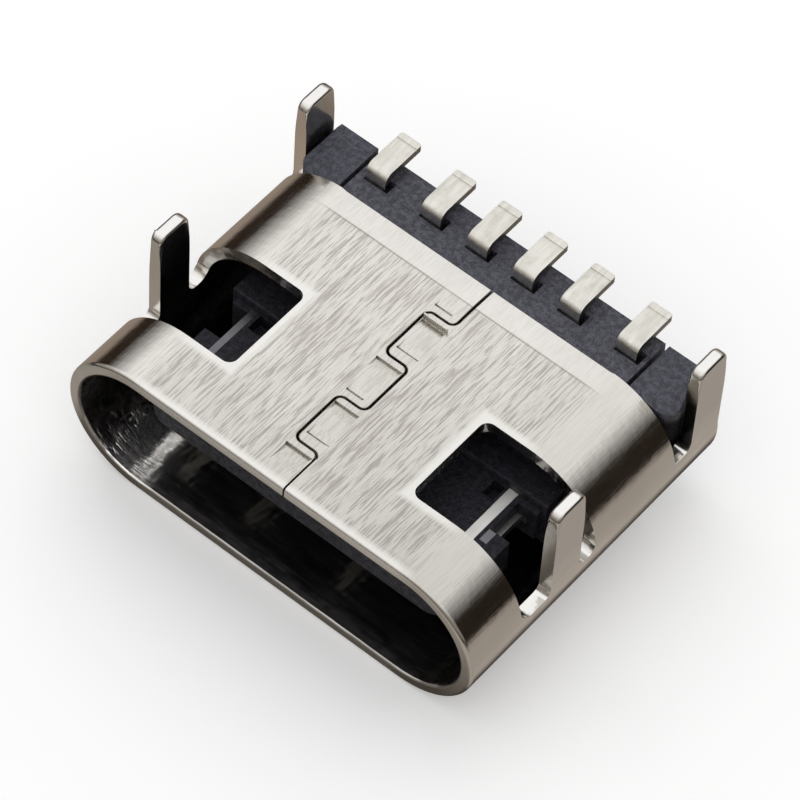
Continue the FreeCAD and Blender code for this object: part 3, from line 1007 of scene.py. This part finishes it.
# Painted shade: the stamped sides of the leads are painted dark.
shaded_sides = ranged(distance(parts_of(tree, "Normal")[X]), 0.6, 0.95)
# Painted highlight: the pads on the tongue are painted brightest.
pad_highlight = ranged_mm(parts_of(tree, "Object")[Y], -0.1, 0.1, 1, 0)
color = blend(ranged(rolled, 0.35, 0.65), TIN, TIN_DIM)
color = blend(ranged(cloud, 0.55, 0.75, 0, 0.5), color, TIN_CLOUD)
color = blend(shaded_sides, color, SIDE_SHADE)
connect(shader.inputs["Base Color"], blend(pad_highlight, color, PAD_HIGHLIGHT))
rough = calculate("ADD", ranged(cloud, 0.3, 0.7, 0.24, 0.38), product(pad_highlight, 0.25))
connect(shader.inputs["Roughness"], rough)
bump(shader, rolled, 0.006)
print("lead metal nodes:", len(tree.nodes))

# %% Middle plate steel
ROLLED, ROLLED_DIM, LAND = (0.52, 0.51, 0.50), (0.36, 0.35, 0.34), (0.19, 0.185, 0.20)
plate_steel, tree, shader = finish("plate_steel", (0.45, 0.44, 0.43), 1.0, 0.35)
rolled = noise(tree, 1, (2, 14, 2), 3)
color = blend(ranged(rolled, 0.35, 0.65), ROLLED, ROLLED_DIM)
land = ranged_mm(parts_of(tree, "Object")[Z], 1.75, 1.80)
connect(shader.inputs["Base Color"], blend(land, color, LAND))
connect(shader.inputs["Roughness"], ranged(rolled, 0.3, 0.7, 0.28, 0.42))
bump(shader, rolled, 0.004)
print("middle plate nodes:", len(tree.nodes))

# %% [markdown]
# ## Black plastic
#
# The plastic is a glass-filled nylon: charcoal with a blue cast, with a mottled skin where
# the mould was spark-eroded. Inside the tube its colour is painted darker, nearly black, as
# shade, and the hollow under the nose of each corner block is painted black, as shadow.

# %% Black plastic, in two shades
# Colours of the painted shade inside the shell and of the painted shadow under the noses.
SHADED_INSIDE, SHADED_INSIDE_LIGHT, PAINTED_SHADOW = (0.012, 0.0115, 0.016), (0.036, 0.035, 0.048), (0.004, 0.004, 0.005)


def nylon(name, dark, light):
    """Charcoal plastic with a mottled, slightly pitted skin, painted darker in the shell as shade.
    """
    material, tree, shader = finish(name, dark, 0.0, 0.5)
    mottle = noise(tree, 9, detail=4, roughness=0.7)
    grain = noise(tree, 30, detail=2)
    both = calculate("ADD", ranged(mottle, 0, 1, 0, 0.7), ranged(grain, 0, 1, 0, 0.3))
    x, y, z = parts_of(tree, "Object")
    rear = ranged_mm(y, 1.4, 1.9)
    # Painted shadow: the hollow under each corner block's nose is painted near black.
    low = product(ranged_mm(z, 2.35, 2.62, 1, 0), ranged_mm(y, 2.4, 2.7, 1, 0), rear)
    skin = blend(ranged(both, 0.44, 0.58), dark, light)
    # Painted shade: inside the shell the plastic is painted darker.
    inside = blend(ranged(both, 0.42, 0.62), SHADED_INSIDE, SHADED_INSIDE_LIGHT)
    color = blend(low, blend(rear, inside, skin), PAINTED_SHADOW)
    connect(shader.inputs["Base Color"], color)
    connect(shader.inputs["Roughness"], ranged(mottle, 0.3, 0.7, 0.58, 0.38))
    # The specular level is lowered with the painted shade, inside the shell and under the noses.
    shaded_specular = product(ranged(rear, 0, 1, 0.26, 0.5), ranged(low, 0, 1, 1, 0.15))
    connect(shader.inputs["Specular IOR Level"], shaded_specular)
    bump(shader, both, 0.045)
    return material


housing_nylon = nylon("housing_plastic", (0.040, 0.040, 0.056), (0.092, 0.094, 0.125))
carrier_nylon = nylon("carrier_plastic", (0.042, 0.042, 0.057), (0.106, 0.107, 0.139))
housing.data.materials.append(housing_nylon)
carrier.data.materials.append(carrier_nylon)
plate.data.materials.append(plate_steel)
for piece in leads.values():
    piece.data.materials.append(lead_metal)
print("nodes of each plastic:", len(housing_nylon.node_tree.nodes))

# %% [markdown]
# ## Floor and light
#
# Metal shows what stands round it. In a white room it would look like white plastic, so the
# studio has a grey card on the floor and a low dark band round it, which only glossy rays
# see. They put the brown-black lines on the rounds and the grey on the side walls. The world
# is white, a little weaker for soft light than for what is seen, and one large lamp from
# behind the upper left gives the light a direction. The floor glows a little for the camera
# alone, so that it looks white and still keeps the socket's shadow.

# %% White floor
deselect()
bpy.ops.mesh.primitive_plane_add(size=0.3, location=(0, 0, 0))
floor = bpy.context.object
floor.name = "table"
table_white, tree, shader = finish("table_white", (0.95, 0.95, 0.95), 0.0, 0.6)
connect(shader.inputs["Specular IOR Level"], 0.1)
connect(shader.inputs["Emission Color"], (1, 1, 1, 1))
ray = tree.nodes.new("ShaderNodeLightPath")
glow = ranged(ray.outputs["Is Camera Ray"], 0, 1, 0, 0.20)
connect(shader.inputs["Emission Strength"], glow)
floor.data.materials.append(table_white)
floor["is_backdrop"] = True
print("floor, m:", floor.dimensions[:])

# %% World
SOFT_LIGHT, SEEN_LIGHT = 0.72, 1.0
world = bpy.data.worlds.new("studio")
bpy.context.scene.world = world
world.use_nodes = True
tree = world.node_tree
background = tree.nodes["Background"]
ray = tree.nodes.new("ShaderNodeLightPath")
kinds = ("Is Camera Ray", "Is Glossy Ray", "Is Transmission Ray")
seen = calculate("MAXIMUM", *(ray.outputs[kind] for kind in kinds))
connect(background.inputs["Strength"], ranged(seen, 0, 1, SOFT_LIGHT, SEEN_LIGHT))
connect(background.inputs["Color"], (1, 1, 1, 1))
print("world nodes:", len(tree.nodes))


# %% Shades of the two cards
def floor_shade(across, along_y, up):
    """Grey, warmer on the left at the back, with a painted shadow right by the object, dark far
    out.
    """
    left = blend(ranged_mm(along_y, -6, 0, 1, 0), (0.34, 0.275, 0.225), (0.31, 0.295, 0.27))
    grey = blend(ranged_mm(across, -6, 4), left, (0.52, 0.475, 0.43))
    past_side = calculate("SUBTRACT", distance(across), SHELL_WIDTH / 2000)
    past_end = calculate("SUBTRACT", distance(along_y), HALF_LENGTH / 1000)
    # Painted shadow: the card is dark right beside the object.
    clear_of_shadow = calculate("MAXIMUM", ranged_mm(past_side, 0, 0.5), ranged_mm(past_end, 0.2, 2.0))
    near = blend(clear_of_shadow, (0.08, 0.07, 0.06), grey)
    squares = (product(part, part) for part in (across, along_y))
    out = calculate("SQRT", calculate("ADD", *squares), 0.0)
    return blend(ranged_mm(out, 11, 20), near, (0.025, 0.018, 0.014))


def band_shade(across, along_y, up):
    """Brown-black behind on both sides, softer elsewhere, white at the top, on the left sooner."""
    behind = product(ranged_mm(along_y, -4, 14), ranged_mm(distance(across), 18, 38))
    left = ranged_mm(across, -20, 20, 1, 0)
    dark = blend(left, (0.026, 0.019, 0.014), (0.024, 0.015, 0.009))
    low = blend(behind, (0.30, 0.275, 0.25), dark)
    height = calculate("ADD", up, product(left, 0.010))
    return blend(ranged_mm(height, 23, 64), low, (1.0, 1.0, 1.0))


print("shades made: floor_shade, band_shade")

# %% Cards that only reflections see
CARD_RADIUS, BAND_RADIUS, BAND_HEIGHT = 0.06, 0.058, 0.07


def card(name, shade):
    """Make the new primitive a card that only glossy rays meet; shade gives its colour."""
    piece = settle(name)
    material = bpy.data.materials.new(name)
    material.use_nodes = True
    tree = material.node_tree
    tree.nodes.remove(tree.nodes["Principled BSDF"])
    glow = tree.nodes.new("ShaderNodeEmission")
    connect(glow.inputs["Color"], shade(*parts_of(tree, "Object")))
    connect(tree.nodes["Material Output"].inputs["Surface"], glow.outputs[0])
    piece.data.materials.append(material)
    for ray_kind in ("camera", "diffuse", "transmission", "volume_scatter", "shadow"):
        setattr(piece, "visible_" + ray_kind, False)
    piece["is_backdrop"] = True
    print(name, "nodes:", len(tree.nodes))


deselect()
bpy.ops.mesh.primitive_circle_add(vertices=64, radius=CARD_RADIUS, fill_type="NGON",
                                  location=(0, 0, 0.00002))
card("grey_card", floor_shade)
deselect()
bpy.ops.mesh.primitive_cylinder_add(vertices=64, radius=BAND_RADIUS, depth=BAND_HEIGHT,
                                    end_fill_type="NOTHING", location=(0, 0, BAND_HEIGHT / 2))
card("dark_band", band_shade)

# %% Lamp
data = bpy.data.lights.new("window_light", "AREA")
data.shape, data.size, data.energy = "DISK", 0.12, 0.026
lamp = bpy.data.objects.new("window_light", data)
bpy.context.scene.collection.objects.link(lamp)
lamp.visible_glossy = False
lamp.location = (-0.045, 0.050, 0.085)
lamp.rotation_mode = "QUATERNION"
lamp.rotation_quaternion = (-lamp.location).to_track_quat("-Z", "Y")
print("lamp distance, m:", round(lamp.location.length, 3))

# %% [markdown]
# ## Camera
#
# The socket is seen from the front right and from high up, through a long lens that hardly
# narrows it towards the back. The lens is given in pixels of an 800 pixel wide frame, as it
# was fitted to the outline of the mouth, and the camera is rolled by a few degrees.

# %% Camera
SENSOR, FOCAL_PIXELS, FRAME_PIXELS, ROLL = 36, 5000, 800, 4.3
eye = Vector((29.23, -36.51 - HALF_LENGTH, 70.64)) / 1000
aim = Vector((0, 3.5 - HALF_LENGTH, 1.6)) / 1000
data = bpy.data.cameras.new("camera")
camera = bpy.data.objects.new("camera", data)
bpy.context.scene.collection.objects.link(camera)
bpy.context.scene.camera = camera
data.sensor_width = SENSOR
data.lens = SENSOR * FOCAL_PIXELS / FRAME_PIXELS
data.clip_start, data.clip_end = 0.002, 1.0
camera.location = eye
camera.rotation_mode = "QUATERNION"
roll = Matrix.Rotation(math.radians(ROLL), 3, "Z").to_quaternion()
camera.rotation_quaternion = (aim - eye).to_track_quat("-Z", "Y") @ roll
bpy.context.scene.view_settings.view_transform = "Standard"
print("camera distance, mm:", round((aim - eye).length * 1000, 1), "lens, mm:", data.lens)

# %% [markdown]
# ## Sizes
#
# The box round the visual model is printed, in millimetres.

# %% Print the size of the visual model
low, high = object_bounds()
print("visual box, mm:", [round(v * 1000, 3) for v in (*low, *high)])
